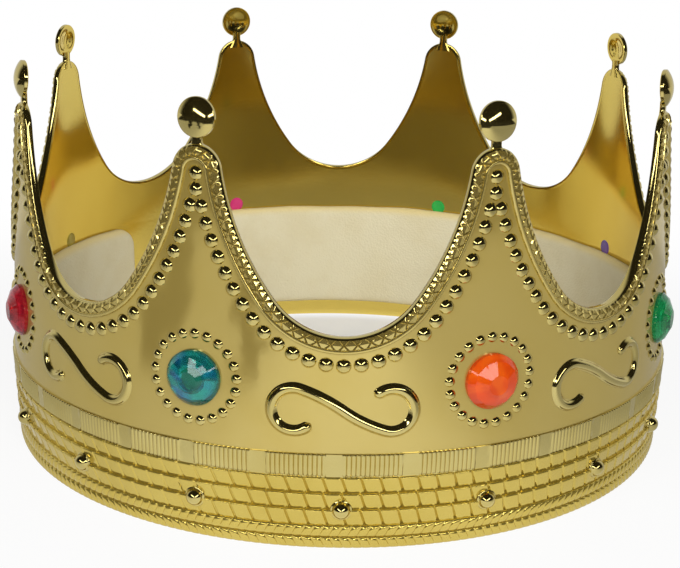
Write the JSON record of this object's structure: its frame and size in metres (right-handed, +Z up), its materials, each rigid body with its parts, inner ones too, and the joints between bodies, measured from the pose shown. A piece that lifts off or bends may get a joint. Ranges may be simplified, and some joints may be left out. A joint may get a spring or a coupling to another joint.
{
  "type": "costume crown",
  "caption": "Round gold-finished plastic costume crown with ball-tipped points, beaded edges, faceted gems and a foam sweatband, worn on the head.",
  "frame": {"origin": "centre of the bottom rim, on the surface the crown stands on", "axes": "+Z up along the crown's own axis, -Y to the front, where a valley between two points faces"},
  "size_m": [0.1966, 0.1966, 0.1118],
  "materials": {
    "gold_plastic": "vacuum-metallised gold, mirror bright",
    "foam": "soft closed-cell foam",
    "gem_front_right": "clear orange acrylic, faceted",
    "gem_right": "clear emerald acrylic, faceted",
    "gem_right_rear": "clear violet blue acrylic, faceted",
    "gem_rear_right": "clear green acrylic, faceted",
    "gem_rear_left": "clear pink acrylic, faceted",
    "gem_left_rear": "clear amber acrylic, faceted",
    "gem_left": "clear red acrylic, faceted",
    "gem_front_left": "clear teal blue acrylic, faceted"
  },
  "bodies": {
    "root": {"crown_shell": "gold_plastic", "foam_sweatband": "foam", "gem_front_right": "gem_front_right", "gem_right": "gem_right", "gem_right_rear": "gem_right_rear", "gem_rear_right": "gem_rear_right", "gem_rear_left": "gem_rear_left", "gem_left_rear": "gem_left_rear", "gem_left": "gem_left", "gem_front_left": "gem_front_left"}
  },
  "joints": []
}
